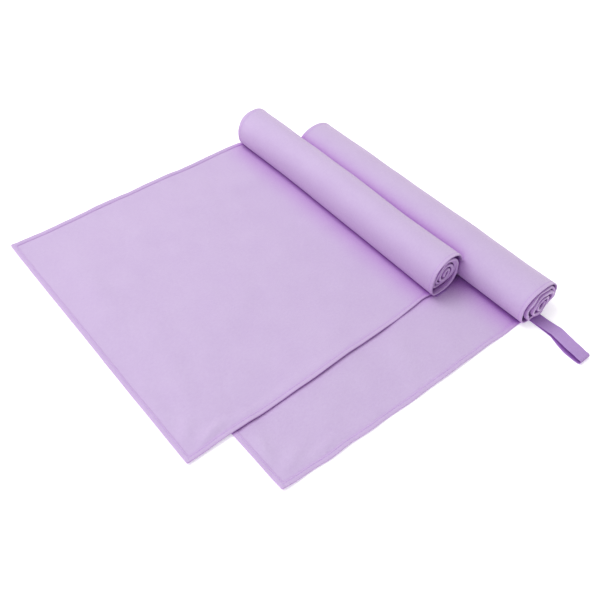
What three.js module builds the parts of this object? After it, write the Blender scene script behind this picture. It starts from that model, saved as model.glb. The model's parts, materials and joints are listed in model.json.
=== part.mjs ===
// Pair of quick-dry towels, one lying on the other, each partly unrolled.
// Millimetres, +Z up. Each towel is one rectangle of thin cloth with a narrow
// sewn hem on all four sides and a hanging loop in one long side. Half of each
// towel lies flat and the other half is rolled up on top of it.
//   +X  from the free ends towards the rolls
//   +Y  along the rolls, away from the hanging loop
//   origin: bottom centre of the overall box
import * as THREE from 'three';

// ---- driving dimensions ----------------------------------------------------
const W = 400;              // towel width, along the roll
const CLOTH = 1.0;          // cloth thickness
const HEM = 2.0;            // hem thickness, cloth folded double
const HEM_W = 6;            // hem width
const GAP = 0.3;            // gap kept between touching pieces
const THREAD_W = 0.9;       // sewing thread line width
const THREAD_T = 0.2;       // sewing thread line thickness

// lower towel, in layout coordinates (upper towel's free end at x = 0)
const LO_X0 = 58.7;         // free end
const LO_YC = -83;          // centre of its width
const LO_Z0 = 0;            // underside
const LO_CX = 441.2;        // roll axis
const LO_RX = 32.5;         // roll half width
const LO_RZ = 26.6;         // roll half height
const LO_TURNS = 4.75;
const LO_OX = -1.2;          // core offset
const LO_OZ = 0.8;
const LO_SMIN = 0.165;

// upper towel
const UP_X0 = 0;
const UP_YC = 0;
const UP_Z0 = 2.8;          // lies on the lower towel's hems
const UP_CX = 380.1;
const UP_RX = 26.5;
const UP_RZ = 28.4;
const UP_TURNS = 5.25;
const UP_OX = -1.4;
const UP_OZ = 0.8;
const UP_SMIN = 0.165;
const FLAP_X = 130;         // fold line of the free end
const CREASE_X = UP_CX - UP_RX - 0.3;   // fold line beside the roll

// hanging loops: one strap folded in half, both ends sewn under the side hem
const LOOP_X = 439.5;       // lower loop, centre of the strap
const LOOP_W = 17.5;
const LOOP_LEN = 92;        // hem to tip
const LOOP_ROOT = 12.5;     // flat stretch next to the hem, both layers together
const LOOP_T = 0.8;         // strap thickness
const LOOP_TOP = [          // height of the upper layer: distance from the hem, height over all
  [13.2, 2.0], [25, 2.8], [34, 3.8], [45, 5.6], [55, 7.7], [64, 9.1], [74, 9.5], [82, 9.0],
];
const UP_LOOP_X = 383;      // upper loop, tucked flat under its own roll
const UP_LOOP_T = 1.2;

// overall box, for the origin
const X_MIN = Math.min(UP_X0, LO_X0);
const X_MAX = Math.max(UP_CX + UP_RX, LO_CX + LO_RX);
const Y_MAX = Math.max(UP_YC, LO_YC) + W / 2;
const Y_MIN = LO_YC - W / 2 - LOOP_LEN;
const OX = (X_MIN + X_MAX) / 2;
const OY = (Y_MIN + Y_MAX) / 2;

// ---- materials ---------------------------------------------------------------
const cloth = () => new THREE.MeshStandardMaterial({ color: 0xc9a6e2, roughness: 0.9, metalness: 0 });
const rolled = () => new THREE.MeshStandardMaterial({ color: 0xc4a2dd, roughness: 0.9, metalness: 0 });
const hemMat = () => new THREE.MeshStandardMaterial({ color: 0xb98fd6, roughness: 0.92, metalness: 0 });
const strapMat = () => new THREE.MeshStandardMaterial({ color: 0xb08fd2, roughness: 0.85, metalness: 0 });
const threadMat = () => new THREE.MeshStandardMaterial({ color: 0xa77fca, roughness: 0.7, metalness: 0 });

const object = new THREE.Group();
object.name = 'quick_dry_towels';
object.position.set(-OX, -OY, 0);

function add(name, geometry, material) {
  const mesh = new THREE.Mesh(geometry, material);
  mesh.name = name;
  object.add(mesh);
  return mesh;
}

// a flat piece between two corners
function plate(name, x0, x1, y0, y1, z0, z1, material) {
  const m = add(name, new THREE.BoxGeometry(x1 - x0, y1 - y0, z1 - z0), material);
  m.position.set((x0 + x1) / 2, (y0 + y1) / 2, (z0 + z1) / 2);
  return m;
}

// a profile in the XZ plane, extruded along Y from y0 to y1
function extrudeY(name, shape, y0, y1, material) {
  const g = new THREE.ExtrudeGeometry(shape, { depth: y1 - y0, steps: 1, bevelEnabled: false, curveSegments: 8 });
  const m = add(name, g, material);
  m.rotation.x = Math.PI / 2;
  m.position.y = y1;
  return m;
}

// Centreline of the rolled half: it leaves the flat cloth at the bottom of the
// roll, climbs the +X side and passes over the top at full size, tucks in on top
// of the flat cloth, then winds in to the core, which sits a little off centre.
const TUCK = 0.17;          // how far the outer turn draws in as it tucks under
const step01 = (v) => { const c = Math.min(1, Math.max(0, v)); return c * c * (3 - 2 * c); };
function rollLine(t) {
  const pts = [];
  const perTurn = 30;
  const n = Math.round(perTurn * t.turns);
  for (let i = 0; i <= n; i++) {
    const turn = (t.turns * i) / n;
    const a = -Math.PI / 2 + 2 * Math.PI * turn;
    const k = step01((turn - 0.75) / 0.35);
    const wound = Math.max(0, turn - 1) / (t.turns - 1);
    const s = 1 - TUCK * step01((turn - 0.7) / 0.3) - (1 - TUCK - t.smin) * wound;
    pts.push(new THREE.Vector2(
      t.cx + t.ox * k + (t.rx - CLOTH / 2) * s * Math.cos(a),
      t.z0 + t.rz + t.oz * k + (t.rz - CLOTH / 2) * s * Math.sin(a),
    ));
  }
  return pts;
}

function lengths(pts) {
  const out = [0];
  for (let i = 1; i < pts.length; i++) out.push(out[i - 1] + pts[i].distanceTo(pts[i - 1]));
  return out;
}

// the part of a polyline between two arc lengths
function slice(pts, s0, s1) {
  const L = lengths(pts);
  const at = (s) => {
    let i = 1;
    while (i < L.length - 1 && L[i] < s) i++;
    const k = (s - L[i - 1]) / (L[i] - L[i - 1]);
    return pts[i - 1].clone().lerp(pts[i], k);
  };
  const out = [at(s0)];
  for (let i = 0; i < pts.length; i++) if (L[i] > s0 + 0.4 && L[i] < s1 - 0.4) out.push(pts[i].clone());
  out.push(at(s1));
  return out;
}

// closed band round a centreline: outer and inner give the two half thicknesses
function band(pts, outer, inner) {
  const n = pts.length;
  const A = [], B = [];
  for (let i = 0; i < n; i++) {
    const p = pts[Math.max(0, i - 1)], q = pts[Math.min(n - 1, i + 1)];
    const d = q.clone().sub(p).normalize();
    const nx = -d.y, ny = d.x;                 // towards the inside of the roll
    A.push(new THREE.Vector2(pts[i].x - nx * outer, pts[i].y - ny * outer));
    B.push(new THREE.Vector2(pts[i].x + nx * inner, pts[i].y + ny * inner));
  }
  return new THREE.Shape(A.concat(B.reverse()));
}

// rolled half of a towel: cloth, a hem at each end of the roll, the hem in the core
function roll(prefix, t) {
  const line = rollLine(t);
  const total = lengths(line).pop();
  const y0 = t.yc - W / 2, y1 = t.yc + W / 2;
  const s0 = GAP / 2, s1 = total - HEM_W - 1;
  const o = CLOTH / 2, i = HEM - CLOTH / 2;
  const main = slice(line, s0, s1);
  extrudeY(prefix + '_roll_cloth', band(main, o, o), y0 + HEM_W + GAP, y1 - HEM_W - GAP, rolled());
  extrudeY(prefix + '_roll_near_hem', band(main, o, i), y0, y0 + HEM_W, hemMat());
  extrudeY(prefix + '_roll_far_hem', band(main, o, i), y1 - HEM_W, y1, hemMat());
  extrudeY(prefix + '_core_end_hem', band(slice(line, total - HEM_W, total), o, i), y0, y1, hemMat());
  return total;
}

// flat run of a towel between two x positions: cloth and both side hems
function flatRun(prefix, x0, x1, yc, z0) {
  const y0 = yc - W / 2, y1 = yc + W / 2;
  plate(prefix + '_cloth', x0, x1, y0 + HEM_W + GAP, y1 - HEM_W - GAP, z0, z0 + CLOTH, cloth());
  plate(prefix + '_near_hem', x0, x1, y0, y0 + HEM_W, z0, z0 + HEM, hemMat());
  plate(prefix + '_far_hem', x0, x1, y1 - HEM_W, y1, z0, z0 + HEM, hemMat());
}

// sewing thread along a side hem, on the hem's inner edge
function sideThread(name, x0, x1, y, z0) {
  plate(name, x0, x1, y - THREAD_W / 2, y + THREAD_W / 2, z0 + HEM + GAP, z0 + HEM + GAP + THREAD_T, threadMat());
}

// ---- lower towel -----------------------------------------------------------
{
  const y0 = LO_YC - W / 2, y1 = LO_YC + W / 2;
  plate('lower_free_end_hem', LO_X0, LO_X0 + HEM_W, y0, y1, LO_Z0, LO_Z0 + HEM, hemMat());
  flatRun('lower_flat', LO_X0 + HEM_W + GAP, LO_CX - GAP / 2, LO_YC, LO_Z0);
  roll('lower', { cx: LO_CX, rx: LO_RX, rz: LO_RZ, z0: LO_Z0, yc: LO_YC, turns: LO_TURNS, smin: LO_SMIN, ox: LO_OX, oz: LO_OZ });
  plate('lower_free_end_thread', LO_X0 + HEM_W - 2, LO_X0 + HEM_W - 2 + THREAD_W, y0 + 4.6, y1 - 4.6,
    LO_Z0 + HEM + GAP, LO_Z0 + HEM + GAP + THREAD_T, threadMat());
  sideThread('lower_near_hem_thread', LO_X0 + HEM_W + GAP, LO_CX - LO_RX, y0 + HEM_W - 1.6, LO_Z0);
  sideThread('lower_far_hem_thread', LO_X0 + HEM_W + GAP, LO_CX - LO_RX, y1 - HEM_W + 1.6, LO_Z0);

  // hanging loop: strap folded in half, its eye open
  const yr = y0 - GAP, T = LOOP_T;
  plate('lower_loop_root', LOOP_X - LOOP_W / 2, LOOP_X + LOOP_W / 2, y0 - LOOP_ROOT, yr, 0, 2 * T, strapMat());
  plate('lower_loop_bar_tack', LOOP_X - LOOP_W / 2 + 1, LOOP_X + LOOP_W / 2 - 1, y0 - 4.4, y0 - 2,
    2 * T + GAP, 2 * T + GAP + THREAD_T, threadMat());
  const R = 4, yt = y0 - LOOP_LEN;           // nose of the loop
  const top = LOOP_TOP.map(([d, h]) => [y0 - d, h]);
  const nose = (r, out) => {
    for (let k = 1; k < 14; k++) {
      const a = Math.PI / 2 + (Math.PI * k) / 14;
      out.push([yt + R + r * Math.cos(a), R + r * Math.sin(a)]);
    }
    return out;
  };
  const s = new THREE.Shape();
  s.moveTo(top[0][0], 0);
  for (const [y, z] of top) s.lineTo(y, z);
  s.lineTo(yt + R + 2, 2 * R + 0.5);
  for (const [y, z] of nose(R, [])) s.lineTo(y, z);
  s.lineTo(yt + R, 0);
  const h = new THREE.Path();
  h.moveTo(top[0][0] - 6, T);
  h.lineTo(yt + R, T);
  for (const [y, z] of nose(R - T, []).reverse()) h.lineTo(y, z);
  h.lineTo(yt + R + 2, 2 * R + 0.4 - T);
  for (const [y, z] of top.slice(1).reverse()) h.lineTo(y, z - T);
  s.holes.push(h);
  const g = new THREE.ExtrudeGeometry(s, { depth: LOOP_W, steps: 1, bevelEnabled: false });
  const m = add('lower_hanging_loop', g, strapMat());
  // profile x -> +Y, profile y -> +Z, depth -> +X
  m.quaternion.setFromRotationMatrix(new THREE.Matrix4().makeBasis(
    new THREE.Vector3(0, 1, 0), new THREE.Vector3(0, 0, 1), new THREE.Vector3(1, 0, 0)));
  m.position.x = LOOP_X - LOOP_W / 2;
}

// ---- upper towel -----------------------------------------------------------
{
  const y0 = UP_YC - W / 2, y1 = UP_YC + W / 2;
  plate('upper_free_end_hem', UP_X0, UP_X0 + HEM_W, y0, y1, UP_Z0, UP_Z0 + HEM, hemMat());
  flatRun('upper_flap', UP_X0 + HEM_W + GAP, FLAP_X - GAP / 2, UP_YC, UP_Z0);
  flatRun('upper_flat', FLAP_X + GAP / 2, CREASE_X - GAP / 2, UP_YC, UP_Z0);
  flatRun('upper_under_roll', CREASE_X + GAP / 2, UP_CX - GAP / 2, UP_YC, UP_Z0);
  roll('upper', { cx: UP_CX, rx: UP_RX, rz: UP_RZ, z0: UP_Z0, yc: UP_YC, turns: UP_TURNS, smin: UP_SMIN, ox: UP_OX, oz: UP_OZ });
  plate('upper_free_end_thread', UP_X0 + HEM_W - 2, UP_X0 + HEM_W - 2 + THREAD_W, y0 + 4.6, y1 - 4.6,
    UP_Z0 + HEM + GAP, UP_Z0 + HEM + GAP + THREAD_T, threadMat());
  sideThread('upper_flap_near_thread', UP_X0 + HEM_W + GAP, FLAP_X - GAP / 2, y0 + HEM_W - 1.6, UP_Z0);
  sideThread('upper_flap_far_thread', UP_X0 + HEM_W + GAP, FLAP_X - GAP / 2, y1 - HEM_W + 1.6, UP_Z0);
  sideThread('upper_near_hem_thread', FLAP_X + GAP / 2, CREASE_X - GAP / 2, y0 + HEM_W - 1.6, UP_Z0);
  sideThread('upper_far_hem_thread', FLAP_X + GAP / 2, CREASE_X - GAP / 2, y1 - HEM_W + 1.6, UP_Z0);
  plate('upper_hanging_loop', UP_LOOP_X - LOOP_W / 2, UP_LOOP_X + LOOP_W / 2, y0 + 1, y0 + LOOP_LEN,
    CLOTH + GAP, CLOTH + GAP + UP_LOOP_T, strapMat());
  plate('upper_loop_bar_tack', UP_LOOP_X - LOOP_W / 2 + 1, UP_CX - GAP, y0 + 1.6, y0 + 4.2,
    UP_Z0 + HEM + GAP, UP_Z0 + HEM + GAP + THREAD_T, threadMat());
}

export default object;
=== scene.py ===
import json
import math

import bpy
import numpy as np
from mathutils import Matrix, Vector


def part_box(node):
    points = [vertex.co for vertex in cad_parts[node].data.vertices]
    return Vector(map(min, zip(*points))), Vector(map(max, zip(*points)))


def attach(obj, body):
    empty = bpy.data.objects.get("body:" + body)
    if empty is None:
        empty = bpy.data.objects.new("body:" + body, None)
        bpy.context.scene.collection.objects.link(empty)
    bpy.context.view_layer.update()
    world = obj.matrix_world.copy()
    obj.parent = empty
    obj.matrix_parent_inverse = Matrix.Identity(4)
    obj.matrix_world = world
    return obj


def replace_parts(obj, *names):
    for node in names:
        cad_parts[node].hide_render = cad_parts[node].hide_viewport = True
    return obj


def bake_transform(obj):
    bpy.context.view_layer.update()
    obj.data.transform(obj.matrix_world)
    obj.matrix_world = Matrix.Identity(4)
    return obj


# Looks of a pair of quick dry towels, one lying on the other, each half rolled.
# Every cloth piece is first laid out flat, in (s, v, n): s along the towel from
# its free end, v across it from its middle, n out of its upper face, all in mm.
# Towel.map() then puts it where the towel lies: flat, up round the roll, in to
# the core. Hems, stitches and cloth share that map, so they stay together.

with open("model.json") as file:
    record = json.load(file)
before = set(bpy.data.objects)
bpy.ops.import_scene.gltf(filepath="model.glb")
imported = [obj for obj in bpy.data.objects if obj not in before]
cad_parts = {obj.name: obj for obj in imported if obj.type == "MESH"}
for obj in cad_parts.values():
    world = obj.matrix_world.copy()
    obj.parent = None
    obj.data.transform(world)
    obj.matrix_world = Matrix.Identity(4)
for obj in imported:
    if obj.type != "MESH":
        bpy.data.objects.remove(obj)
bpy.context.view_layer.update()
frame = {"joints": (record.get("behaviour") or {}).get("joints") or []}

T = 1.0            # cloth thickness
HEM_W = 6.3        # hem width
HEM_T = 2.0        # hem thickness
WIDTH = 400.0
LENGTH = 900.0

# ---------------------------------------------------------------- frame places
def bx(node):
    a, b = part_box(node)
    return np.array(a) * 1000, np.array(b) * 1000


up_end, lo_end = bx("upper_free_end_hem"), bx("lower_free_end_hem")
up_roll, lo_roll = bx("upper_roll_near_hem"), bx("lower_roll_near_hem")
ORIGIN = np.array([up_end[0][0], (up_end[0][1] + up_end[1][1]) / 2, 0.0])
JOINTS = {j["name"]: j for j in frame["joints"]}
fold = np.array(JOINTS["upper_flap_fold"]["pos_m"]) * 1000 - ORIGIN
crease = np.array(JOINTS["upper_roll_over"]["pos_m"]) * 1000 - ORIGIN


def row(p):
    """layout millimetres -> row frame metres"""
    return (np.asarray(p, float) + ORIGIN) / 1000.0


# -------------------------------------------------------------------- helpers
def smooth(t):
    t = np.clip(t, 0.0, 1.0)
    return t * t * (3 - 2 * t)


def bump(x, c, w):
    return np.exp(-(((x - c) / w) ** 2))


def pchip(xk, yk):
    xk, yk = np.asarray(xk, float), np.asarray(yk, float)
    h, d = np.diff(xk), np.diff(yk) / np.diff(xk)
    m = np.zeros(len(xk))
    m[0], m[-1] = d[0], d[-1]
    for i in range(1, len(xk) - 1):
        if d[i - 1] * d[i] > 0:
            w1, w2 = 2 * h[i] + h[i - 1], h[i] + 2 * h[i - 1]
            m[i] = (w1 + w2) / (w1 / d[i - 1] + w2 / d[i])

    def f(x):
        x = np.clip(x, xk[0], xk[-1])
        i = np.clip(np.searchsorted(xk, x, side="right") - 1, 0, len(h) - 1)
        t = (x - xk[i]) / h[i]
        return ((1 + 2 * t) * (1 - t) ** 2 * yk[i] + t * (1 - t) ** 2 * h[i] * m[i]
                + t * t * (3 - 2 * t) * yk[i + 1] + t * t * (t - 1) * h[i] * m[i + 1])
    return f


def waves(seed, low, high, count=14):
    """a smooth repeatable field of about +-1 over (x, y), wavelengths low to high in mm"""
    r = np.random.default_rng(seed)
    lam = low * (high / low) ** r.random(count)
    ang = r.random(count) * 2 * math.pi
    ph = r.random(count) * 2 * math.pi
    kx, ky = 2 * math.pi / lam * np.cos(ang), 2 * math.pi / lam * np.sin(ang)

    def f(x, y):
        x, y = np.asarray(x, float), np.asarray(y, float)
        out = np.zeros(np.broadcast(x, y).shape)
        for i in range(count):
            out = out + np.cos(kx[i] * x + ky[i] * y + ph[i])
        return out / math.sqrt(count / 1.3)
    return f


# ---------------------------------------------------------------------- towel
class Towel:
    def __init__(self, x0, yc, zb, cx, rx, rz, table, core, off, corners, drift, seed, skew, under):
        self.x0, self.yc, self.zb, self.cx, self.rx, self.rz = x0, yc, zb, cx, rx, rz
        self.skew, self.under = skew, under
        n0 = int((cx - x0) / 0.25)
        fx = np.linspace(x0, cx, n0, endpoint=False)

        def line(turns):
            """the outer turns follow the table, then the cloth winds in evenly to the core"""
            tau = np.linspace(0, turns, 9000)
            a = -math.pi / 2 + 2 * math.pi * tau
            t0, f0 = table[-1]
            sc = np.where(tau < t0, pchip([t[0] for t in table], [t[1] for t in table])(tau),
                          f0 + (core - f0) * (tau - t0) / (turns - t0))
            k = smooth((tau - 0.8) / 0.5)
            m = np.ones_like(tau)
            for i, (c, ang, w) in enumerate(corners):
                m += c * bump(tau * 360, ((ang + 90) / 360 + i) * 360, w)
            # the core is pressed a little oval, along a slant
            m *= 1 + 0.07 * smooth((tau - 1.2) / 1.2) * np.cos(2 * (a - math.radians(58)))
            X = cx + off[0] * k + (rx - T / 2) * sc * m * np.cos(a)
            Z = zb + rz + off[1] * k + (rz - T / 2) * sc * m * np.sin(a)
            floor = zb + T / 2 + 2.6
            Z = np.where(tau > 0.6, floor + np.logaddexp(0, (Z - floor) / 0.4) * 0.4, Z)
            X, Z = np.concatenate([fx, X]), np.concatenate([np.full(n0, zb + T / 2), Z])
            return X, Z, np.concatenate([[0], np.cumsum(np.hypot(np.diff(X), np.diff(Z)))]), tau
        lo, hi = 2.5, 8.0
        for _ in range(22):
            mid = (lo + hi) / 2
            lo, hi = (mid, hi) if line(mid)[2][-1] < LENGTH + 1.0 else (lo, mid)
        self.X, self.Z, self.S, tau = line(hi)
        self.turns = hi
        self.tau = np.concatenate([np.zeros(n0), tau])
        self.flat = cx - x0
        self.end = min(LENGTH, self.S[-1])
        self.drift = pchip(*drift)
        self.w1, self.w2 = waves(seed, 110, 260), waves(seed + 1, 34, 80)
        self.w3 = waves(seed + 2, 60, 190, 10)
        self.e1 = waves(seed + 3, 38, 120, 9)
        self.total = self.S[-1]

    def tau_at(self, s):
        return np.interp(s, self.S, self.tau)

    def s_at(self, tau):
        return float(np.interp(tau, self.tau[self.tau > 0], self.S[self.tau > 0]))

    def base(self, s, v):
        # the roll begins a little later than the bare spiral would, by the length self.late
        late = self.late * (1 - 0.10 * v / (WIDTH / 2)) * smooth(s / 100.0)
        x = np.interp(s - late, self.S, self.X) + late
        z = np.interp(s - late, self.S, self.Z)
        tau = self.tau_at(s - late)
        near = WIDTH / 2 + v          # distance from the near side edge
        far = WIDTH / 2 - v
        y = self.yc + v * (1 + self.spread * smooth(tau / 0.12) + self.pinch * smooth(s / 90.0) * (1 - smooth(tau / 0.12)))
        # roll: slightly uneven, a touch slimmer towards the far end
        roll = smooth(tau / 0.12)
        rxy = self.w3(tau * 140.0, y)
        slim = self.slim * np.exp(-((far / 90.0) ** 2))
        amp = 1 + roll * (0.007 * rxy - slim)
        dx = x - self.cx - late
        wide = self.wide_far * smooth(-dx / 14.0) * np.exp(-((far / 80.0) ** 2)) + self.wide_near * smooth(dx / 14.0) * np.exp(-((near / 60.0) ** 2))
        x = self.cx + late + dx * np.where(roll > 0, amp + roll * wide, 1)
        z = self.zb + (z - self.zb) * np.where(roll > 0, amp, 1)
        # the cloth runs a little out of square, and the turns creep sideways as it is rolled
        y = y + self.drift(np.where(tau > 0, tau, (s - self.flat) / 180.0))
        y = y + self.near_in(s) * np.clip(-v / (WIDTH / 2), 0, 1) ** 1.3 - self.far_in * roll * np.clip(v / (WIDTH / 2), 0, 1) ** 1.3
        x = x + self.end_out * (1 - smooth(s / 150.0))
        # side edges are never quite straight
        edge = self.e1(s, 7.0 * np.sign(v))
        fall = np.exp(-np.minimum(near, far) / 30)
        y = y + fall * 0.38 * edge * (1 - 0.4 * roll)
        inner = smooth((tau - 0.85) / 0.4)
        ripple = np.exp(-np.minimum(near, far) / 11)
        y = y + inner * ripple * 0.9 * self.e1(s * 1.9 + 40.0, 3.0 * np.sign(v))
        rip = 1 + inner * ripple * 0.014 * self.e1(s * 1.6, 9.0 * np.sign(v))
        x = self.cx + late + (x - self.cx - late) * rip
        z = self.zb + self.rz + (z - self.zb - self.rz) * rip
        # flat part: soft undulation, lying on what is under it
        w = 1 - smooth((s - (self.crease_s() - 62)) / 58)
        z = z * (1 - w) + self.flat_height(s, v, x, y) * w
        x = x + (self.skew + self.roll_skew * roll) * (y - self.yc) + self.roll_shift * roll
        return np.stack([x, y, z], -1)

    def flat_height(self, s, v, x, y):
        near, far = WIDTH / 2 + v, WIDTH / 2 - v
        und = 0.60 + 0.75 * self.w1(x, y) + 0.26 * self.w2(x, y)
        rim = np.minimum(np.minimum(near, far), s)
        lift = 0.5 * np.exp(-rim / 14) * (0.5 + 0.8 * np.abs(self.e1(x * 0.7, y * 0.7)))
        zf = self.under(x, y) + T / 2 + np.maximum(und, 0) * 0.9 + lift
        for (cs, cv, h, r) in self.curls:
            zf = zf + h * np.exp(-(np.hypot(s - cs, v - cv) / r) ** 1.5)
        for (cs, cv, ls, lv, h, ang) in self.dimples:
            ca, sa = math.cos(ang), math.sin(ang)
            p, q = (s - cs) * ca + (v - cv) * sa, -(s - cs) * sa + (v - cv) * ca
            zf = zf + h * np.exp(-(p / ls) ** 2 - (q / lv) ** 2)
        return np.maximum(zf, T / 2 + 0.02)

    slim = 0.0
    late = 0.0
    far_in = 0.0
    wide_far = wide_near = 0.0
    near_in = staticmethod(lambda s: 0.0)
    puff = 0.72
    roll_skew = 0.0
    roll_shift = 0.0
    spread = 0.0
    pinch = 0.0
    end_out = 0.0
    curls = ()
    dimples = ()

    def crease_s(self):
        return self.cx - 0.72 * self.rx - self.x0 + self.late

    def frame(self, s, v):
        s, v = np.broadcast_arrays(np.asarray(s, float), np.asarray(v, float))
        e = 0.45
        s0, s1 = np.clip(s - e, 0, self.total), np.clip(s + e, 0, self.total)
        ds = (self.base(s1, v) - self.base(s0, v))
        dv = (self.base(s, v + e) - self.base(s, v - e))
        ds /= np.linalg.norm(ds, axis=-1, keepdims=True)
        n = np.cross(ds, dv)
        n /= np.linalg.norm(n, axis=-1, keepdims=True)
        return self.base(s, v), ds, n

    def map(self, s, v, n):
        p, _, nn = self.frame(s, v)
        return p + nn * np.asarray(n, float)[..., None]


# --------------------------------------------------------------- mesh building
def make(name, verts, faces, loop_normals, uv, mat, smooth_shade=True, sharp=None):
    me = bpy.data.meshes.new(name)
    verts = np.asarray(verts, float)
    me.from_pydata([tuple(p) for p in row(verts)], [], [tuple(f) for f in faces])
    me.update()
    if uv is not None:
        layer = me.uv_layers.new(name="cloth")
        idx = np.zeros(len(me.loops), np.int32)
        me.loops.foreach_get("vertex_index", idx)
        layer.data.foreach_set("uv", (np.asarray(uv)[idx] / 1000.0).astype(np.float32).ravel())
    me.polygons.foreach_set("use_smooth", [smooth_shade] * len(me.polygons))
    if sharp is not None:
        ev = np.zeros(len(me.edges) * 2, np.int32)
        me.edges.foreach_get("vertices", ev)
        ev = np.sort(ev.reshape(-1, 2), 1)
        sharp = np.sort(np.asarray(sharp), 1)
        key = lambda e: e[:, 0].astype(np.int64) * len(verts) + e[:, 1]
        attr = me.attributes.new("sharp_edge", "BOOLEAN", "EDGE")
        attr.data.foreach_set("value", np.isin(key(ev), key(sharp)))
    if loop_normals is not None:
        me.normals_split_custom_set([tuple(n) for n in loop_normals])
    ob = bpy.data.objects.new(name, me)
    bpy.context.scene.collection.objects.link(ob)
    me.materials.append(mat)
    return ob


def grid_faces(nr, nc, off=0, flip=False, wrap=False):
    r = np.arange(nr - 1)[:, None] * nc
    cc = np.arange(nc if wrap else nc - 1)[None, :]
    c2 = (cc + 1) % nc
    f = np.stack([r + cc, r + c2, r + nc + c2, r + nc + cc], -1).reshape(-1, 4) + off
    return f[:, ::-1] if flip else f


def sheet_piece(name, tw, S, V, mat, rows=None):
    """closed sheet over the grid S x V, or the stretch of rows given"""
    if rows is not None:
        S = S[rows]
    ss, vv = np.meshgrid(S, V, indexing="ij")
    P, _, N = tw.frame(ss, vv)
    top, bot = P + N * T / 2, P - N * T / 2
    nr, nc = ss.shape
    verts = np.concatenate([top.reshape(-1, 3), bot.reshape(-1, 3)])
    uv = np.concatenate([np.stack([ss, vv], -1).reshape(-1, 2)] * 2)
    n = nr * nc
    ft = grid_faces(nr, nc, 0, flip=True)
    fb = grid_faces(nr, nc, n, flip=False)
    rim = []
    for i in range(nr - 1):
        a, b = i * nc, (i + 1) * nc
        rim.append((a, b, b + n, a + n))
        a, b = i * nc + nc - 1, (i + 1) * nc + nc - 1
        rim.append((b, a, a + n, b + n))
    for j in range(nc - 1):
        a, b = j, j + 1
        rim.append((b, a, a + n, b + n))
        a, b = (nr - 1) * nc + j, (nr - 1) * nc + j + 1
        rim.append((a, b, b + n, a + n))
    rim = np.array(rim)
    Nf = N.reshape(-1, 3)
    ln = [Nf[ft.ravel()], -Nf[(fb - n).ravel()]]
    rn = []
    for f in rim:
        q = verts[f]
        c = np.cross(q[2] - q[0], q[3] - q[1])
        c = c / (np.linalg.norm(c) + 1e-12)
        rn += [c] * 4
    faces = np.concatenate([ft, fb, rim])
    sharp = np.concatenate([rim[:, :2], rim[:, 2:]])
    return make(name, verts, faces, np.concatenate(ln + [np.array(rn)]), uv, mat, sharp=sharp)


def tube_piece(name, P, UV, mat, rows=None, N=None):
    """closed tube: P[row, ring, 3], ring wraps round; flat end caps"""
    if N is None:
        N = tube_normals(P)
    if rows is not None:
        P, UV, N = P[rows], UV[rows], N[rows]
    nr, nc = P.shape[:2]
    f = grid_faces(nr, nc, 0, wrap=True)
    verts = P.reshape(-1, 3)
    q = verts[f]
    fn = np.cross(q[:, 2] - q[:, 0], q[:, 3] - q[:, 1])
    if (fn * N.reshape(-1, 3)[f[:, 0]]).sum() < 0:
        f = f[:, ::-1]
    ln = [N.reshape(-1, 3)[f.ravel()]]
    faces = [tuple(x) for x in f]
    sharp = []
    out0 = P[0].mean(0) - P[1].mean(0)
    out1 = P[-1].mean(0) - P[-2].mean(0)
    for ring, out in ((list(range(nc)), out0), (list(range((nr - 1) * nc, nr * nc)), out1)):
        pts = verts[ring]
        c = pts.mean(0)
        nn = sum(np.cross(pts[i] - c, pts[(i + 1) % nc] - c) for i in range(nc))
        if nn @ out < 0:
            ring = ring[::-1]
            nn = -nn
        faces.append(tuple(ring))
        sharp += [(ring[i], ring[(i + 1) % nc]) for i in range(nc)]
        ln.append(np.repeat((nn / (np.linalg.norm(nn) + 1e-12))[None], nc, 0))
    return make(name, verts, faces, np.concatenate(ln), UV.reshape(-1, 2), mat, sharp=sharp)


def tube_normals(P):
    a = np.gradient(P, axis=0)
    b = np.roll(P, -1, 1) - np.roll(P, 1, 1)
    n = np.cross(a, b)
    n /= np.linalg.norm(n, axis=-1, keepdims=True) + 1e-12
    c = P.mean(1, keepdims=True)
    if ((P - c) * n).sum() < 0:
        n = -n
    return n


# hem section: distance u in from the edge, height n; outer fold at u = 0
HEM_RING = np.array([
    (HEM_W - 0.02, -0.40), (5.7, -0.57), (5.15, -0.60), (4.7, -0.50), (4.25, -0.60), (3.0, -0.64), (1.6, -0.62),
    (0.7, -0.56), (0.2, -0.36), (0.0, 0.05), (0.02, 0.55), (0.2, 1.02), (0.62, 1.33), (1.3, 1.47), (2.4, 1.52),
    (3.6, 1.47), (4.25, 1.34), (4.7, 1.12), (5.15, 1.32), (5.7, 1.34), (6.08, 1.16), (HEM_W + 0.02, 0.80),
    (HEM_W + 0.05, 0.30)])
SEAM_U = 4.7


def hem_rows(tw, lo, hi, fine_to=None, step=0.8, coarse=2.6):
    if fine_to is None or hi <= fine_to:
        return np.linspace(lo, hi, int(round((hi - lo) / step)) + 1)
    a = np.linspace(lo, fine_to, int(round((fine_to - lo) / step)) + 1)
    b = np.linspace(fine_to, hi, int(round((hi - fine_to) / coarse)) + 1)[1:]
    return np.concatenate([a, b])


def hem_points(along, seed, pitch=3.2):
    """ring of (u, n) at each position along the hem, with the pucker that the stitches pull in"""
    lump = waves(seed, 9, 42, 10)
    slow = waves(seed + 9, 60, 160, 6)
    a = along[:, None]
    u, n = HEM_RING[None, :, 0] + 0 * a, HEM_RING[None, :, 1] + 0 * a
    near_seam = np.exp(-((u - SEAM_U) / 1.3) ** 2)
    pk = np.cos(2 * math.pi * a / pitch)
    top = smooth((n + 0.2) / 0.8)
    n = n + top * (0.055 * pk * near_seam + 0.10 * lump(a, u * 3.0) * (1 - 0.6 * near_seam))
    n = n - (1 - top) * 0.03 * pk * near_seam
    u = u + 0.10 * slow(a, 0.0) * smooth(u / 2) + 0.03 * pk * smooth((u - 4.9) / 0.8)
    return u, n


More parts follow.
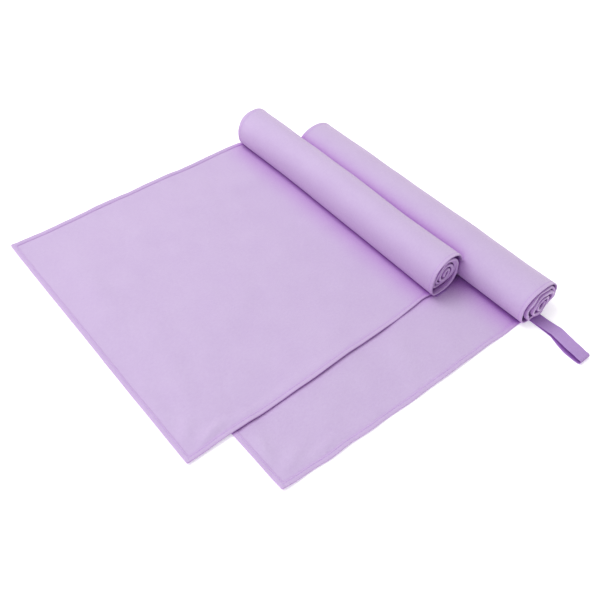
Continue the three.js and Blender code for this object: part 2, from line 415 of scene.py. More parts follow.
def side_hem(tw, side, S, seed):
    """side -1 near, +1 far: P[row, ring, 3] and uv"""
    u, n = hem_points(S, seed)
    # between the turns of a roll nothing presses on the hem, so it stands fuller
    tau = tw.tau_at(S)[:, None]
    full = smooth((tau - 0.85) / 0.35) * (1 - 0.35 * bump(tau % 1.0, 0.0, 0.12)) * smooth((tw.tau_at(tw.end) - tau) / 0.2 + 0.4)
    n = 0.45 + (n - 0.45) * (1 + tw.puff * full)
    v = side * (WIDTH / 2 - u)
    s = S[:, None] + 0 * u
    P = tw.map(s, v, n)
    return P, np.stack([s, v], -1)


def end_hem(tw, s_edge, direction, V, seed, up=0.32, round_r=2.2):
    """hem across the towel at s_edge, its inside towards direction; a little higher where it crosses the side hems"""
    u, n = hem_points(V, seed)
    v = V[:, None] + 0 * u
    dv = np.maximum(0, round_r - (WIDTH / 2 - np.abs(v)))
    cut = round_r - np.sqrt(np.maximum(round_r ** 2 - dv ** 2, 0))
    over = smooth((np.abs(v) - (WIDTH / 2 - HEM_W - 0.8)) / 1.2)
    n = np.where(n > 0.4, n + over * up, n)
    n = np.where(n < -0.3, n - over * 0.12, n)
    # the last half millimetre closes round
    tip = np.clip((WIDTH / 2 - np.abs(v)) / 0.9, 0, 1)
    squeeze = np.sqrt(1 - (1 - tip) ** 2)
    mid = 0.35
    n = mid + (n - mid) * (0.35 + 0.65 * squeeze)
    s = s_edge + direction * (u + cut * np.exp(-u / 2.5))
    P = tw.map(s, v, n)
    return P, np.stack([s, v], -1)


def stitches(tw, places, seed, length=2.35, wide=0.50, high=0.30):
    """small raised threads: places is (s, v, n, along) rows, along 0 for s and 1 for v"""
    r = np.random.default_rng(seed)
    t = np.array([-1, -0.72, 0, 0.72, 1.0])
    rad = np.array([0.0, 0.78, 1.0, 0.78, 0.0])
    k = 6
    verts, uvs, faces = [], [], []
    base = 0
    S, V, Nn, sets = [], [], [], []
    for (s, v, n, along) in places:
        jl, jw, tilt = r.normal(0, 0.05), r.normal(0, 0.03), r.normal(0, 0.05)
        L = length / 2 * (1 + jl)
        loc = [(-L, 0.0, -0.10)]
        for i in (1, 2, 3):
            for j in range(k):
                b = 2 * math.pi * j / k
                loc.append((t[i] * L, wide / 2 * rad[i] * math.cos(b), high / 2 * rad[i] * math.sin(b) + 0.05 * (1 - t[i] ** 2)))
        loc.append((L, 0.0, -0.10))
        loc = np.array(loc)
        a, c = loc[:, 0], loc[:, 1] + loc[:, 0] * tilt + jw
        sgn = 1.0 if n > 0 else -1.0
        if along == 0:
            S.append(s + a); V.append(v + c)
        else:
            S.append(s + c); V.append(v + a)
        Nn.append(n + sgn * loc[:, 2])
        f = [(0, 1 + (j + 1) % k, 1 + j) for j in range(k)]
        for i in range(2):
            o = 1 + i * k
            f += [(o + j, o + (j + 1) % k, o + k + (j + 1) % k, o + k + j) for j in range(k)]
        o = 1 + 2 * k
        f += [(o + j, o + (j + 1) % k, 1 + 3 * k) for j in range(k)]
        if (along == 1) != (sgn < 0):
            f = [x[::-1] for x in f]
        faces += [tuple(base + q for q in x) for x in f]
        base += len(loc)
    S, V, Nn = np.concatenate(S), np.concatenate(V), np.concatenate(Nn)
    return tw.map(S, V, Nn), faces, np.stack([S, V], -1)


def stitch_piece(name, tw, places, seed, mat):
    P, f, uv = stitches(tw, places, seed)
    return make(name, P, f, None, uv, mat)


# ------------------------------------------------------------------- materials
def cloth_material(name, base, dark, sheen=0.35, nap=1.0, weave=True):
    m = bpy.data.materials.new(name)
    m.use_nodes = True
    nt = m.node_tree
    nt.nodes.clear()
    N = nt.nodes.new
    out, bs = N("ShaderNodeOutputMaterial"), N("ShaderNodeBsdfPrincipled")
    nt.links.new(bs.outputs[0], out.inputs[0])
    bs.inputs["Roughness"].default_value = 0.92
    bs.inputs["Specular IOR Level"].default_value = 0.12
    bs.inputs["Sheen Weight"].default_value = sheen
    bs.inputs["Sheen Roughness"].default_value = 0.6
    bs.inputs["Sheen Tint"].default_value = (1.0, 0.86, 1.0, 1.0)
    uv = N("ShaderNodeUVMap")
    uv.uv_map = "cloth"
    # slow mottling where the nap lies differently
    n1 = N("ShaderNodeTexNoise")
    n1.inputs["Scale"].default_value = 26.0
    n1.inputs["Detail"].default_value = 3.0
    n1.inputs["Roughness"].default_value = 0.55
    # short fibres, drawn out a little along the cloth
    stretch = N("ShaderNodeMapping")
    stretch.inputs["Scale"].default_value = (1.0, 1.7, 1.0)
    nt.links.new(uv.outputs[0], stretch.inputs["Vector"])
    n2 = N("ShaderNodeTexNoise")
    n2.inputs["Scale"].default_value = 1500.0
    n2.inputs["Detail"].default_value = 2.0
    n3 = N("ShaderNodeTexNoise")
    n3.inputs["Scale"].default_value = 230.0
    n3.inputs["Detail"].default_value = 3.0
    n3.inputs["Roughness"].default_value = 0.6
    nt.links.new(uv.outputs[0], n1.inputs["Vector"])
    nt.links.new(stretch.outputs[0], n2.inputs["Vector"])
    nt.links.new(stretch.outputs[0], n3.inputs["Vector"])
    add = N("ShaderNodeMath"); add.operation = "MULTIPLY_ADD"
    nt.links.new(n2.outputs["Fac"], add.inputs[0])
    add.inputs[1].default_value = 0.35
    nt.links.new(n3.outputs["Fac"], add.inputs[2])
    add2 = N("ShaderNodeMath"); add2.operation = "MULTIPLY_ADD"
    nt.links.new(n1.outputs["Fac"], add2.inputs[0])
    add2.inputs[1].default_value = 0.55
    nt.links.new(add.outputs[0], add2.inputs[2])
    ramp = N("ShaderNodeMapRange")
    ramp.inputs["From Min"].default_value = 0.55
    ramp.inputs["From Max"].default_value = 1.35
    nt.links.new(add2.outputs[0], ramp.inputs["Value"])
    mix = N("ShaderNodeMix"); mix.data_type = "RGBA"
    mix.inputs[6].default_value = (*dark, 1)
    mix.inputs[7].default_value = (*base, 1)
    nt.links.new(ramp.outputs["Result"], mix.inputs[0])
    # painted shade: where cloth faces cloth close by, in creases and between the turns of the rolls, the colour is
    # darkened and deepened towards purple, standing in for the shade and coloured bounce light there
    ao = N("ShaderNodeAmbientOcclusion")
    ao.samples = 8
    ao.inputs["Distance"].default_value = 0.034
    painted_crease_shade = N("ShaderNodeValToRGB")
    painted_crease_shade.color_ramp.interpolation = "EASE"
    el = painted_crease_shade.color_ramp.elements
    el[0].position, el[0].color = 0.0, (0.34, 0.0, 0.56, 1)
    el[1].position, el[1].color = 1.0, (1, 1, 1, 1)
    for at, tone in ((0.22, (0.66, 0.14, 0.86)), (0.56, (0.94, 0.72, 0.975)), (0.88, (0.99, 0.945, 1.0))):
        e = el.new(at)
        e.color = (*tone, 1)
    nt.links.new(ao.outputs["AO"], painted_crease_shade.inputs[0])
    # multiply the painted crease shade into the mottled cloth colour
    crease_shade_multiply = N("ShaderNodeMix"); crease_shade_multiply.data_type = "RGBA"; crease_shade_multiply.blend_type = "MULTIPLY"
    crease_shade_multiply.inputs[0].default_value = 1.0
    nt.links.new(mix.outputs[2], crease_shade_multiply.inputs[6])
    nt.links.new(painted_crease_shade.outputs[0], crease_shade_multiply.inputs[7])
    # painted light and shade: faces that look up keep the plain colour, faces that turn away from up get a darker,
    # deeper colour, as if lit from above
    geo, sep = N("ShaderNodeNewGeometry"), N("ShaderNodeSeparateXYZ")
    faces_up = N("ShaderNodeMapRange"); faces_up.interpolation_type = "SMOOTHSTEP"
    faces_up.inputs["From Min"].default_value, faces_up.inputs["From Max"].default_value = -0.25, 0.95
    nt.links.new(geo.outputs["Normal"], sep.inputs[0])
    nt.links.new(sep.outputs["Z"], faces_up.inputs["Value"])
    painted_side_shade = N("ShaderNodeMix"); painted_side_shade.data_type = "RGBA"
    painted_side_shade.inputs[6].default_value = (0.93, 0.80, 0.97, 1)
    painted_side_shade.inputs[7].default_value = (1, 1, 1, 1)
    nt.links.new(faces_up.outputs["Result"], painted_side_shade.inputs[0])
    # multiply the painted side shade into the colour
    side_shade_multiply = N("ShaderNodeMix"); side_shade_multiply.data_type = "RGBA"; side_shade_multiply.blend_type = "MULTIPLY"
    side_shade_multiply.inputs[0].default_value = 1.0
    nt.links.new(crease_shade_multiply.outputs[2], side_shade_multiply.inputs[6])
    nt.links.new(painted_side_shade.outputs[2], side_shade_multiply.inputs[7])
    nt.links.new(side_shade_multiply.outputs[2], bs.inputs["Base Color"])
    # height: nap over a very fine knit
    h = N("ShaderNodeMath"); h.operation = "MULTIPLY_ADD"
    nt.links.new(n3.outputs["Fac"], h.inputs[0])
    h.inputs[1].default_value = 0.8
    nt.links.new(n2.outputs["Fac"], h.inputs[2])
    last = h
    if weave:
        w1 = N("ShaderNodeTexWave"); w1.wave_type = "BANDS"; w1.bands_direction = "X"
        w1.inputs["Scale"].default_value = 330.0
        w1.inputs["Distortion"].default_value = 1.2
        w1.inputs["Detail"].default_value = 1.0
        w1.inputs["Detail Scale"].default_value = 2.0
        w2 = N("ShaderNodeTexWave"); w2.wave_type = "BANDS"; w2.bands_direction = "Y"
        w2.inputs["Scale"].default_value = 330.0
        w2.inputs["Distortion"].default_value = 1.2
        w2.inputs["Detail"].default_value = 1.0
        w2.inputs["Detail Scale"].default_value = 2.0
        nt.links.new(uv.outputs[0], w1.inputs["Vector"])
        nt.links.new(uv.outputs[0], w2.inputs["Vector"])
        mw = N("ShaderNodeMath"); mw.operation = "MULTIPLY"
        nt.links.new(w1.outputs["Fac"], mw.inputs[0])
        nt.links.new(w2.outputs["Fac"], mw.inputs[1])
        last = N("ShaderNodeMath"); last.operation = "MULTIPLY_ADD"
        nt.links.new(mw.outputs[0], last.inputs[0])
        last.inputs[1].default_value = 0.45
        nt.links.new(h.outputs[0], last.inputs[2])
    bp = N("ShaderNodeBump")
    bp.inputs["Strength"].default_value = 0.8 * nap
    bp.inputs["Distance"].default_value = 0.0005
    nt.links.new(last.outputs[0], bp.inputs["Height"])
    nt.links.new(bp.outputs[0], bs.inputs["Normal"])
    return m


LILAC = (0.534, 0.430, 0.638)
LILAC_D = (0.476, 0.357, 0.588)
SHEEN = 0.62
M_CLOTH = cloth_material("towel_microfibre", LILAC, LILAC_D, sheen=SHEEN)
M_HEM = cloth_material("hem_microfibre", (0.516, 0.391, 0.625), (0.493, 0.365, 0.602), sheen=SHEEN)
M_STRAP = cloth_material("loop_strap", (0.400, 0.252, 0.555), (0.362, 0.220, 0.515), sheen=SHEEN * 0.8)
M_THREAD = cloth_material("sewing_thread", (0.50, 0.33, 0.68), (0.43, 0.27, 0.62), sheen=0.25, nap=0.4, weave=False)


# --------------------------------------------------------------- the two towels
def roll_of(b, zb):
    cx, rx = (b[0][0] + b[1][0]) / 2 - ORIGIN[0], (b[1][0] - b[0][0]) / 2
    return cx, rx, (b[1][2] - zb) / 2


lo_x0 = lo_end[0][0] - ORIGIN[0]
lo_yc = (lo_end[0][1] + lo_end[1][1]) / 2 - ORIGIN[1]
lo_cx, lo_rx, lo_rz = roll_of(lo_roll, 0.0)
up_zb = up_end[0][2]
up_cx, up_rx, up_rz = roll_of(up_roll, up_zb)


def lower_under(x, y):
    return np.zeros(np.broadcast(x, y).shape)


def upper_under(x, y):
    """height of the lower towel under the upper one; the cloth bridges its hems softly"""
    fx = smooth((x - (lo_x0 - 56)) / 54)
    fy = smooth(((lo_yc + WIDTH / 2 + 52) - y) / 50)
    sx, sv = np.clip(x - lo_x0, 0, 330), np.clip(y - lo_yc, -WIDTH / 2, WIDTH / 2)
    low = LOWER.flat_height(sx, sv, x, y) + T / 2
    hemx = 1 - smooth((x - lo_x0 - 9) / 75)
    hemy = 1 - smooth(((lo_yc + WIDTH / 2) - y - 9) / 75)
    return fx * fy * (low + 0.12 + 1.15 * np.maximum(hemx, hemy)) + 0.12 * (1 - fx * fy)


LOWER = Towel(lo_x0, lo_yc, 0.0, lo_cx, lo_rx, lo_rz,
              table=[(0, 1), (0.5, 1), (0.75, 0.985), (1.0, 0.905), (1.25, 0.835), (1.5, 0.80), (1.75, 0.765)],
              core=0.13, off=(-0.8, 0.6), corners=[(0.13, 226, 27), (0.06, 226, 25), (0.02, 226, 25)],
              drift=([-2.13, -1.6, -1.05, -0.5, -0.17, -0.04, 0.3, 0.7, 1.0, 1.5, 2.2, 3.2, 4.4],
                     [0, -3.6, -5.6, -6.6, -7.0, -7.2, -6.8, -6.8, -7.8, -9.3, -10.8, -12.0, -12.5]),
              seed=41, skew=-0.006, under=lower_under)
UPPER = Towel(0.0, 0.0, up_zb, up_cx, up_rx, up_rz,
              table=[(0, 1), (0.55, 1), (0.75, 0.985), (1.0, 0.895), (1.25, 0.80), (1.5, 0.765), (1.75, 0.745)],
              core=0.13, off=(-1.8, 0.9), corners=[(0.19, 227, 26), (0.08, 227, 25), (0.02, 227, 25)],
              drift=([-2.11, -1.5, -0.8, -0.4, -0.15, 0.0, 0.7, 1.0, 1.4, 2.2, 3.2, 4.8], [0, 1.2, 2.0, 1.4, -0.5, -3.0, -5.5, -4.0, -1.0, 0.2, 0.0, -1.0]),
              seed=11, skew=-0.001, under=upper_under)
LOWER.curls = [(0, -200, 2.6, 20)]
UPPER.curls = [(0, -200, 2.4, 20), (0, 200, 1.2, 24)]
LOWER.dimples = [(30, -178, 22, 8, 2.3, 0.45), (15, -150, 17, 8, 1.8, 1.25), (64, -186, 24, 6, 1.8, 0.12), (120, -188, 34, 6, 0.8, 0.03),
                 (24, -110, 30, 9, 0.8, 1.4), (215, -148, 38, 13, 1.5, 1.15), (120, -120, 60, 26, 1.0, 0.4)]
UPPER.dimples = [(40, -186, 20, 6, 3.0, 0.22), (22, -166, 17, 8, 2.3, 0.8), (78, -189, 22, 6, 2.1, -0.05), (126, -190, 30, 6, 1.2, 0.05),
                 (12, -128, 26, 8, 0.9, 1.5), (190, -190, 36, 7, 1.2, -0.03), (262, -190, 34, 7, 1.0, 0.03), (110, -140, 60, 24, 0.9, 0.4)]
UPPER.slim, LOWER.slim = 0.055, 0.0
UPPER.late, UPPER.far_in = 6.4, 2.2
UPPER.wide_far, UPPER.wide_near = 0.19, 0.11
UPPER.near_in = pchip([0, 60, 148, 212, 300, 335, 362, 385, 500, 570, 900], [0, -1.0, -2.6, -0.8, 2.6, 5.2, 8.9, 9.2, 8.2, 5.0, 4.6])
UPPER.spread, LOWER.spread = -0.006, 0.019
UPPER.pinch = -0.006
LOWER.end_out, UPPER.end_out = -1.8, 0.0
UPPER.roll_skew, LOWER.roll_skew = 0.002, -0.015
UPPER.roll_shift, LOWER.roll_shift = 0.0, 0.4
print("turns", round(LOWER.turns, 2), round(UPPER.turns, 2), "lengths", round(LOWER.total, 1), round(UPPER.total, 1))

PITCH = 3.2


def v_lines():
    a = np.array([2.4, 4.6, 6.6, 8.4, 10.6, 13.4, 17, 21.5, 27, 33])
    inner = np.linspace(-WIDTH / 2 + 39, WIDTH / 2 - 39, 62)
    return np.concatenate([-WIDTH / 2 + a, inner, WIDTH / 2 - a[::-1]])


def s_lines(tw, marks=()):
    e = np.array([2.4, 4.6, 6.6, 8.4, 10.6, 13.4, 17, 21.5, 27, 32])
    flat = np.linspace(37, tw.crease_s() - 22, 66)
    turn = np.arange(tw.crease_s() - 19, tw.end - 2.4, 2.3)
    S = np.concatenate([e, flat, turn, [tw.end - 2.4]])
    for m, w in marks:   # extra lines where the cloth has to bend in a pose
        S = np.concatenate([S[(S < m - w) | (S > m + w)], np.linspace(m - w, m + w, int(w * 2 / 0.9))])
    return np.unique(np.round(S, 3))


def seam_places(tw, lo, hi, v, both_to, side_n=(1.22, -0.56)):
    """stitches along a side hem: on the upper face, and on the under face up to both_to"""
    out = []
    for s in np.arange(lo + 2.4, hi - 2.0, PITCH):
        out.append((s, v, side_n[0], 0))
        if s < both_to:
            out.append((s + PITCH / 2, v, side_n[1], 0))
    return out


pieces = {}
V = v_lines()
for nm, tw, seed in (("lower", LOWER, 100), ("upper", UPPER, 200)):
    first = tw.s_at(1.05)
    vis = tw.s_at(2.0)
    vn, vf = -(WIDTH / 2 - SEAM_U), WIDTH / 2 - SEAM_U
    marks = () if nm == "lower" else ((fold[0] - 4, 9), (crease[0] + 2.5, 7))
    S = s_lines(tw, marks)
    if nm == "upper":
        cut = int(np.argmin(abs(S - 236)))
        s_cut = S[cut]
        parts = (("flap", slice(0, cut + 1)), ("roll", slice(cut, None)))
    else:
        parts = (("", slice(None)),)
    for tag, rows in parts:
        n = f"{nm}_{tag}_cloth" if tag else f"{nm}_towel_cloth"
        pieces[n] = sheet_piece(n, tw, S, V, M_CLOTH, rows)
    for side, word in ((-1, "near"), (1, "far")):
        H = hem_rows(tw, 3.0, tw.end - 2.0, vis)
        if nm == "upper":
            k = int(np.argmin(abs(H - s_cut)))
            H[k] = s_cut
        P, UV = side_hem(tw, side, H, seed + 3 * side)
        NN = tube_normals(P)
        if nm == "upper":
            hp = (("flap", slice(0, k + 1)), ("roll", slice(k, None)))
        else:
            hp = (("", slice(None)),)
        for tag, rows in hp:
            n = f"{nm}_{tag}_{word}_hem" if tag else f"{nm}_{word}_side_hem"
            pieces[n] = tube_piece(n, P, UV, M_HEM, rows, NN)
        pl = seam_places(tw, 3.0, vis, side * (WIDTH / 2 - SEAM_U), first)
        for tag, rows in hp:
            n = f"{nm}_{tag}_{word}_stitches" if tag else f"{nm}_{word}_side_stitches"
            sel = [p for p in pl if tag == "" or (tag == "flap") == (p[0] < s_cut)]
            pieces[n] = stitch_piece(n, tw, sel, seed + 31, M_THREAD)
    # free end hem and the hem in the core
    VE = np.concatenate([[-200, -199.85, -199.6, -199.2], np.linspace(-198.6, 198.6, 497), [199.2, 199.6, 199.85, 200]])
    P, UV = end_hem(tw, 0.0, 1.0, VE, seed + 41)
    n = f"{nm}_end_hem_band"
    pieces[n] = tube_piece(n, P, UV, M_HEM)
    pl = []
    for v in np.arange(-WIDTH / 2 + SEAM_U, WIDTH / 2 - SEAM_U, PITCH):
        over = 0.32 if abs(v) > WIDTH / 2 - HEM_W - 0.4 else 0.0
        pl += [(SEAM_U, v, 1.22 + over, 1), (SEAM_U, v + PITCH / 2, -0.56, 1)]
    n = f"{nm}_end_hem_stitches"
    pieces[n] = stitch_piece(n, tw, pl, seed + 43, M_THREAD)
    VC = np.linspace(-199.9, 199.9, 140)
    P, UV = end_hem(tw, tw.end, -1.0, VC, seed + 47, round_r=1.0)
    n = f"{nm}_core_hem_band"
    pieces[n] = tube_piece(n, P, UV, M_HEM)


# ------------------------------------------------------------------ hanging loop
def ring_section(w, t, k=5):
    """rounded section of a strap w wide and t thick"""
    r = t / 2
    pts = []
    for sx in (1, -1):
        for i in range(k):
            a = -math.pi / 2 + math.pi * i / (k - 1)
            pts.append((sx * (w / 2 - r + r * math.cos(a)), sx * r * math.sin(a)))
        for q in ((0.72, 1), (0.45, 1), (0.15, 1), (-0.15, 1), (-0.45, 1), (-0.72, 1)):
            pts.append((sx * q[0] * (w / 2), sx * r))
    return np.array(pts)


def strap(name, path, plan, width, thick, mat, seed, widths=None):
    """strap swept along path (distance out d, height z), with a sideways plan x(d)"""
    path = np.array(path, float)
    seg = np.concatenate([[0], np.cumsum(np.hypot(*np.diff(path, axis=0).T))])
    L = seg[-1]
    u = np.linspace(0, L, int(L / 0.9))
    d, z = pchip(seg, path[:, 0])(u), pchip(seg, path[:, 1])(u)
    # smooth the run once
    for _ in range(3):
        d[1:-1] = (d[:-2] + 2 * d[1:-1] + d[2:]) / 4
        z[1:-1] = (z[:-2] + 2 * z[1:-1] + z[2:]) / 4
    x = plan(d, z)
    C = np.stack([x, -d, z], -1)
    tan = np.gradient(C, axis=0)
    tan /= np.linalg.norm(tan, axis=1, keepdims=True)
    dx = np.gradient(plan(d, z)) / (np.gradient(d) + 1e-9)
    side = np.tile([1.0, 0, 0], (len(u), 1))
    side -= (side * tan).sum(1, keepdims=True) * tan
    side /= np.linalg.norm(side, axis=1, keepdims=True)
    nor = np.cross(side, tan)
    sec = ring_section(width, thick)
    wob = waves(seed, 8, 30, 8)
    px, pn = sec[:, 0][None] + 0 * u[:, None], sec[:, 1][None] + 0 * u[:, None]
    seam = np.exp(-((np.abs(px) - (width / 2 - 2.2)) / 0.8) ** 2)
    pn = pn * (1 - 0.22 * seam) + 0.05 * wob(u[:, None], px)
    px = px * (1 + 0.010 * wob(u[:, None] * 0.6, 0))
    P = C[:, None] + side[:, None] * px[..., None] + nor[:, None] * pn[..., None]
    UV = np.stack([u[:, None] + 0 * px, px], -1)
    ob = tube_piece(name, P, UV, mat)
    return ob, (u, C, side, nor)


def strap_stitches(name, run, width, thick, mat, seed, bars=()):
    u, C, side, nor = run
    r = np.random.default_rng(seed)
    verts, faces, uv = [], [], []
    base, k = 0, 6
    t = np.array([-0.72, 0, 0.72])
    rad = np.array([0.78, 1.0, 0.78])

    def at(q):
        return [np.array([np.interp(q, u, A[:, i]) for i in range(3)]) for A in (C, side, nor)]
    items = []
    for sx in (-1, 1):
        for q in np.arange(3.0, u[-1] - 3.0, 2.7):
            items += [(q, sx * (width / 2 - 2.2), 1, 0), (q + 1.35, sx * (width / 2 - 2.2), -1, 0)]
    for (q0, n) in bars:
        for i in range(n):
            items.append((q0 + 0.55 * (i % 4), -width / 2 + 3.4 + (width - 6.8) * i / (n - 1), -1, 1))
    for q, o, face, across in items:
        L = 1.0 if not across else 0.75
        pts = [(-L, 0.0, -0.08)]
        for i in range(3):
            for j in range(k):
                b = 2 * math.pi * j / k
                pts.append((t[i] * L, 0.24 * rad[i] * math.cos(b), 0.15 * rad[i] * math.sin(b)))
        pts.append((L, 0.0, -0.08))
        for a, c, h in pts:
            if across:
                a, c = c, a
            p, sd, nr = at(q + a)
            verts.append(p + sd * (o + c) + nr * face * (thick / 2 * 0.80 + h))
            uv.append((q + a, o + c))
        f = [(0, 1 + (j + 1) % k, 1 + j) for j in range(k)]
        for i in range(2):
            w = 1 + i * k
            f += [(w + j, w + (j + 1) % k, w + k + (j + 1) % k, w + k + j) for j in range(k)]
        w = 1 + 2 * k
        f += [(w + j, w + (j + 1) % k, 1 + 3 * k) for j in range(k)]
        if (face < 0) != bool(across):
            f = [g[::-1] for g in f]
        faces += [tuple(base + g for g in x) for x in f]
        base += len(pts)
    return make(name, np.array(verts), faces, None, np.array(uv), mat)


lp = bx("lower_hanging_loop")
LOOP_X = (lp[0][0] + lp[1][0]) / 2 - ORIGIN[0]
LOOP_TIP = lp[0][1] - ORIGIN[1]                     # y of the tip
EDGE_Y = lo_yc - WIDTH / 2                          # near side edge of the lower towel
TH = 0.95
sway = pchip([0, 12, 26, 42, 52, 62, 72, 84, 92], [2.6, 2.7, 3.0, 2.9, 0.4, -2.6, -4.6, -4.9, -4.0])


def loop_plan(d, z):
    dd = d + EDGE_Y      # distance out from the hem
    return LOOP_X + 3.2 + sway(dd)


def loop_path(bottom, top, nose_r):
    """bottom layer out, round the nose, top layer back; distances out from the hem, heights of the layer's middle"""
    out = [(-EDGE_Y + d, z) for d, z in bottom]
    tip = -LOOP_TIP - TH / 2 - 0.3
    zc = (bottom[-1][1] + top[0][1]) / 2
    for a in np.linspace(-80, 80, 9):
        r = math.radians(a)
        out.append((tip - nose_r + nose_r * math.cos(r), zc + (top[0][1] - bottom[-1][1]) / 2 * math.sin(r)))
    out += [(-EDGE_Y + d, z) for d, z in top]
    return out


low = [(4.5, 0.95), (8, 0.66), (12, 0.55), (30, 0.52), (50, 0.52), (70, 0.55), (82, 0.62), (86.5, 0.75)]
high = [(86.5, 6.9), (81, 8.2), (74, 8.85), (65, 8.5), (56, 7.1), (46, 5.2), (36, 3.5), (26, 2.5), (14, 1.78), (8, 1.8), (4.5, 1.95)]
loop_ob, run = strap("lower_loop_strap", loop_path(low, high, 3.3), loop_plan, 17.3, TH, M_STRAP, 71)
loop_st = strap_stitches("lower_loop_stitches", run, 17.3, TH, M_THREAD, 73, bars=((run[0][-1] - 4.5, 22),))
pieces["lower_loop_strap"], pieces["lower_loop_stitches"] = loop_ob, loop_st

# upper towel's loop, folded back flat under its own roll
ul = bx("upper_hanging_loop")
ux = (ul[0][0] + ul[1][0]) / 2 - ORIGIN[0]
uy0, uy1 = ul[0][1] - ORIGIN[1], ul[1][1] - ORIGIN[1]
uz = (ul[0][2] + ul[1][2]) / 2
ut = (ul[1][2] - ul[0][2]) / 2 - 0.04
upath = [(-uy0 - 0.6, uz - ut / 2), (-(uy0 + 30), uz - ut / 2), (-(uy1 - 3), uz - ut / 2), (-(uy1 - 0.6), uz - ut * 0.3),
         (-(uy1 - 0.6), uz + ut * 0.3), (-(uy1 - 3), uz + ut / 2), (-(uy0 + 30), uz + ut / 2), (-uy0 - 0.6, uz + ut / 2)]
uob, urun = strap("upper_loop_strap", upath, lambda d, z: ux + 0 * d, 17.2, ut * 0.96, M_STRAP, 81)
ust = strap_stitches("upper_loop_stitches", urun, 17.2, ut * 0.96, M_THREAD, 83)
pieces["upper_loop_strap"], pieces["upper_loop_stitches"] = uob, ust


# ------------------------------------------------- bodies, CAD nodes
def P3(x, y, z):
    return tuple(float(q) for q in row((x, y, z)))


for n, ob in pieces.items():
    if n in ("lower_loop_strap", "lower_loop_stitches"):
        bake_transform(ob)
    elif n.startswith("lower_"):
        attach(ob, "lower_towel")
    elif n.startswith("upper_flap_"):
        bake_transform(ob)
    elif n.startswith("upper_end_hem"):
        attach(ob, "upper_flap")
    elif n.startswith("upper_roll_"):
        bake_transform(ob)
    else:
        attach(ob, "upper_roll")

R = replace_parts
R(pieces["lower_towel_cloth"], "lower_flat_cloth", "lower_roll_cloth")
R(pieces["lower_near_side_hem"], "lower_flat_near_hem", "lower_roll_near_hem")
R(pieces["lower_far_side_hem"], "lower_flat_far_hem", "lower_roll_far_hem")
R(pieces["lower_end_hem_band"], "lower_free_end_hem")
R(pieces["lower_core_hem_band"], "lower_core_end_hem")
R(pieces["lower_end_hem_stitches"], "lower_free_end_thread")
R(pieces["lower_near_side_stitches"], "lower_near_hem_thread")
R(pieces["lower_far_side_stitches"], "lower_far_hem_thread")
R(pieces["lower_loop_strap"], "lower_hanging_loop", "lower_loop_root")
R(pieces["lower_loop_stitches"], "lower_loop_bar_tack")
R(pieces["upper_flap_cloth"], "upper_flap_cloth", "upper_flat_cloth")
R(pieces["upper_flap_near_hem"], "upper_flap_near_hem", "upper_flat_near_hem")
R(pieces["upper_flap_far_hem"], "upper_flap_far_hem", "upper_flat_far_hem")
R(pieces["upper_flap_near_stitches"], "upper_flap_near_thread", "upper_near_hem_thread")
R(pieces["upper_flap_far_stitches"], "upper_flap_far_thread", "upper_far_hem_thread")
R(pieces["upper_end_hem_band"], "upper_free_end_hem")
R(pieces["upper_end_hem_stitches"], "upper_free_end_thread")
R(pieces["upper_roll_cloth"], "upper_under_roll_cloth", "upper_roll_cloth")
R(pieces["upper_roll_near_hem"], "upper_under_roll_near_hem", "upper_roll_near_hem")
R(pieces["upper_roll_far_hem"], "upper_under_roll_far_hem", "upper_roll_far_hem")
R(pieces["upper_core_hem_band"], "upper_core_end_hem")
R(pieces["upper_loop_strap"], "upper_hanging_loop")
R(pieces["upper_loop_stitches"], "upper_loop_bar_tack")

# ------------------------------------------------------- floor, light, camera
sc = bpy.context.scene
sc.view_settings.view_transform = "Standard"
sc.view_settings.look = "None"
sc.view_settings.exposure = 0.0
sc.view_settings.gamma = 1.0

fm = bpy.data.materials.new("studio_floor")
fm.use_nodes = True
fb = fm.node_tree.nodes["Principled BSDF"]
fb.inputs["Base Color"].default_value = (0.93, 0.93, 0.93, 1)
fb.inputs["Roughness"].default_value = 0.9
fb.inputs["Specular IOR Level"].default_value = 0.1
fb.inputs["Emission Color"].default_value = (1, 1, 1, 1)
fb.inputs["Emission Strength"].default_value = 0.32
me = bpy.data.meshes.new("floor")
q = 6.0
me.from_pydata([(-q, -q, -0.0003), (q, -q, -0.0003), (q, q, -0.0003), (-q, q, -0.0003)], [], [(0, 1, 2, 3)])
floor = bpy.data.objects.new("floor", me)
me.materials.append(fm)
sc.collection.objects.link(floor)

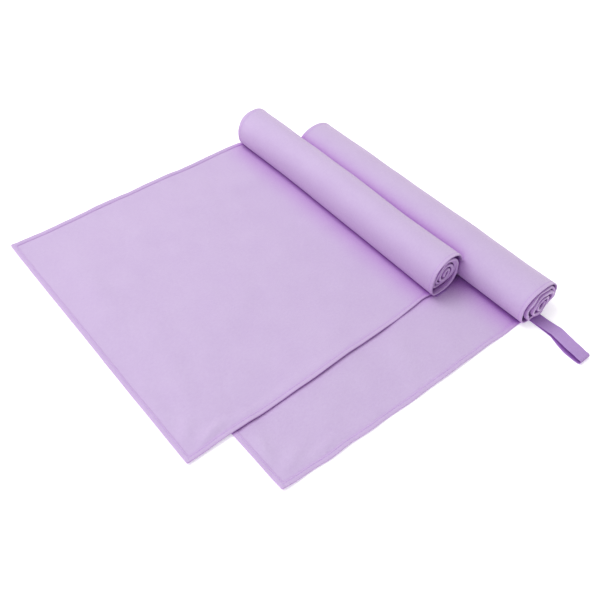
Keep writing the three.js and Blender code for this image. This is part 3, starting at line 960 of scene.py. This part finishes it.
world = bpy.data.worlds.new("studio")
sc.world = world
world.use_nodes = True
wt = world.node_tree
wt.nodes["Background"].inputs[0].default_value = (1.0, 1.0, 1.0, 1)
wt.nodes["Background"].inputs[1].default_value = 0.58
# the backdrop itself is plain white; only its light on the towels is turned down
plain = wt.nodes.new("ShaderNodeBackground")
plain.inputs[0].default_value = (1.0, 1.0, 1.0, 1)
seen, both = wt.nodes.new("ShaderNodeLightPath"), wt.nodes.new("ShaderNodeMixShader")
wt.links.new(seen.outputs["Is Camera Ray"], both.inputs[0])
wt.links.new(wt.nodes["Background"].outputs[0], both.inputs[1])
wt.links.new(plain.outputs[0], both.inputs[2])
wt.links.new(both.outputs[0], wt.nodes["World Output"].inputs[0])


def area(name, loc, target, size, power, color=(1, 1, 1)):
    ld = bpy.data.lights.new(name, "AREA")
    ld.shape = "RECTANGLE"
    ld.size, ld.size_y = size
    ld.energy = power
    ld.color = color
    o = bpy.data.objects.new(name, ld)
    o.location = loc
    o.rotation_mode = "QUATERNION"
    o.rotation_quaternion = (Vector(target) - Vector(loc)).to_track_quat("-Z", "Y")
    sc.collection.objects.link(o)
    return o


area("key", (-0.62, 0.85, 2.2), (0, 0.0, 0), (1.7, 1.5), 43.5)
area("fill", (-1.3, -0.7, 1.3), (0.05, -0.1, 0), (1.6, 1.2), 9)

cam_data = bpy.data.cameras.new("camera")
cam = bpy.data.objects.new("camera", cam_data)
sc.collection.objects.link(cam)
sc.camera = cam
F_PX, AZ, EL, ROLL = 749.10, -42.395, 48.588, 3.513
CAM = (-175.19, -547.38, 692.04)
cam_data.sensor_width = 36.0
cam_data.lens = F_PX / 600.0 * 36.0
cam_data.clip_start, cam_data.clip_end = 0.01, 50
a, e, r = math.radians(AZ), math.radians(EL), math.radians(ROLL)
back = Vector((math.sin(a) * math.cos(e), -math.cos(a) * math.cos(e), math.sin(e)))
xc = Vector((0, 0, 1)).cross(back).normalized()
yc = back.cross(xc)
x2 = xc * math.cos(r) + yc * math.sin(r)
y2 = -xc * math.sin(r) + yc * math.cos(r)
m = Matrix((x2, y2, back)).transposed().to_4x4()
m.translation = Vector(P3(*CAM))
cam.matrix_world = m

bpy.context.view_layer.update()
